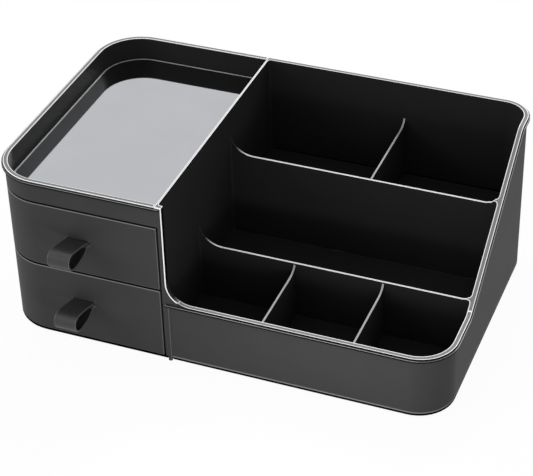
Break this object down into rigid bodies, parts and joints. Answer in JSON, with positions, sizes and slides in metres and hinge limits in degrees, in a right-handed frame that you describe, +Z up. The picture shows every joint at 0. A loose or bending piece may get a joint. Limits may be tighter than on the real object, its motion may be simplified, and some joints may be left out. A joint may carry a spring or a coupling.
{
  "type": "cologne organizer with drawers",
  "caption": "Countertop organizer: a drawer cabinet with leather pulls and a mirrored tray on top, beside stepped tiers with dividers behind a low front and a sloping side.",
  "frame": {"origin": "on the surface the organizer stands on, under the middle of its width and of its whole depth, pulls and lip included", "axes": "+X to the right of someone facing it, -Y towards them, +Z up"},
  "size_m": [0.3036, 0.2183, 0.1189],
  "materials": {
    "shell_plastic": "satin charcoal, fine matte texture",
    "liner_plastic": "satin black",
    "base_plastic": "matte black",
    "case_plastic": "matte dark grey",
    "drawer_plastic": "matte black",
    "pull_leather": "smooth dark grey leather",
    "plate_steel": "brushed",
    "tray_mirror": "polished",
    "foot_rubber": "matte"
  },
  "bodies": {
    "cabinet": {"base_plate": "base_plastic", "foot_pad_front_left": "foot_rubber", "foot_pad_front_right": "foot_rubber", "foot_pad_back_left": "foot_rubber", "foot_pad_back_right": "foot_rubber", "outer_shell": "shell_plastic", "front_frame": "shell_plastic", "tray_liner": "liner_plastic", "tray_mirror": "tray_mirror", "tier_liner": "liner_plastic", "front_divider_1": "liner_plastic", "front_divider_2": "liner_plastic", "back_divider": "liner_plastic", "drawer_case": "case_plastic", "drawer_shelf": "case_plastic"},
    "lower_drawer": {"lower_drawer_box": "drawer_plastic", "lower_drawer_front": "shell_plastic", "lower_drawer_pull": "pull_leather", "lower_drawer_pull_plate": "plate_steel"},
    "upper_drawer": {"upper_drawer_box": "drawer_plastic", "upper_drawer_front": "shell_plastic", "upper_drawer_pull": "pull_leather", "upper_drawer_pull_plate": "plate_steel"}
  },
  "joints": [
    {"name": "lower_drawer_slide", "type": "slide", "parent": "cabinet", "child": "lower_drawer", "axis": [0, -1, 0], "range_m": [0, 0.12]},
    {"name": "upper_drawer_slide", "type": "slide", "parent": "cabinet", "child": "upper_drawer", "axis": [0, -1, 0], "range_m": [0, 0.12]}
  ]
}
